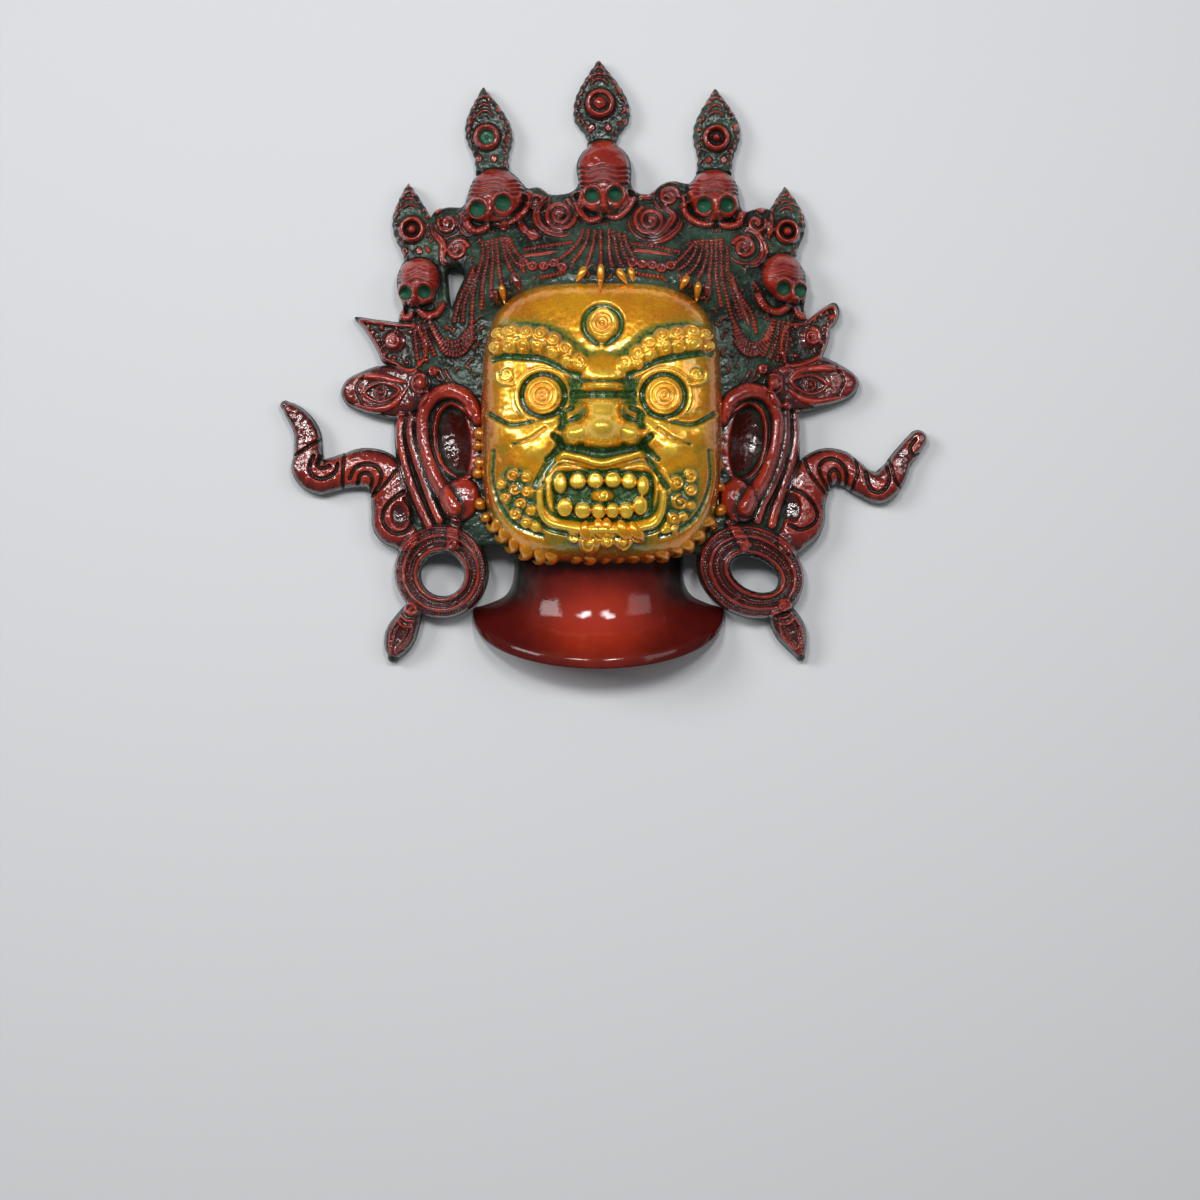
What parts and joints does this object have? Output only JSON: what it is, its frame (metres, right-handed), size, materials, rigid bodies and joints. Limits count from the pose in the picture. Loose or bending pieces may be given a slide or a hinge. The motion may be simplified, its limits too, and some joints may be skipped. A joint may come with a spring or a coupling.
{
  "type": "cast brass wrathful deity mask",
  "caption": "Wall mask of a wrathful protector with a third eye, skull crown, bead garlands, ear rings, scarf ends and a flared neck, cast hollow as a single body, lying on its back.",
  "frame": {"origin": "middle of the mask's outline, in the plane that its back rim rests on", "axes": "+X across the mask to the viewer's right, +Y from the chin to the crown, +Z out of the face"},
  "size_m": [0.4314, 0.403, 0.118],
  "materials": {
    "lacquer_red": "gloss red-brown lacquer over dark green patina",
    "gold_face": "gloss gold lacquer with green patina in the recesses",
    "neck_lacquer": "smooth gloss deep red lacquer",
    "raw_back": "dull cast inside"
  },
  "bodies": {
    "root": {"mask": "lacquer_red"}
  },
  "joints": []
}
